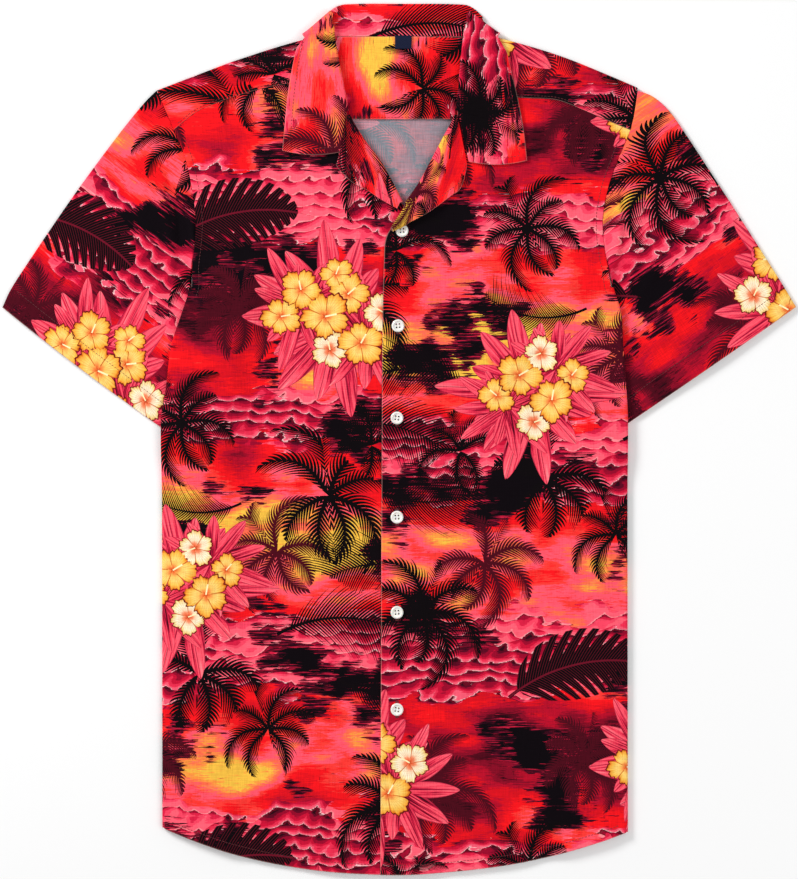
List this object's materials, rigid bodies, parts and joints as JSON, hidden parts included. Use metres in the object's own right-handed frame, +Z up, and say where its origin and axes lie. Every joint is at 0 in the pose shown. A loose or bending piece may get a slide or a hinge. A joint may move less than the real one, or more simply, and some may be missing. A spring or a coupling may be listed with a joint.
{
  "type": "hawaiian shirt",
  "caption": "Short-sleeved hawaiian shirt with a camp collar and an all-over tropical print, buttoned and laid flat on its back with its sides turned under.",
  "frame": {"origin": "under the middle of the shirt's box, on the surface that it lies on", "axes": "+Y towards the collar, +X towards the wearer's left side, +Z up out of the front"},
  "size_m": [0.7142, 0.7836, 0.0107],
  "materials": {
    "print_cloth": "printed cotton poplin, matt",
    "label_tape": "woven navy tape, bare",
    "button": "polished white resin"
  },
  "bodies": {
    "root": {"back": "print_cloth", "yoke_outer": "print_cloth", "yoke_inner": "print_cloth", "front_right": "print_cloth", "front_left": "print_cloth", "facing_right": "print_cloth", "facing_left": "print_cloth", "collar": "print_cloth", "sleeve_right": "print_cloth", "sleeve_left": "print_cloth", "neck_label": "label_tape", "button_1": "button", "button_2": "button", "button_3": "button", "button_4": "button", "button_5": "button", "button_6": "button"}
  },
  "joints": []
}
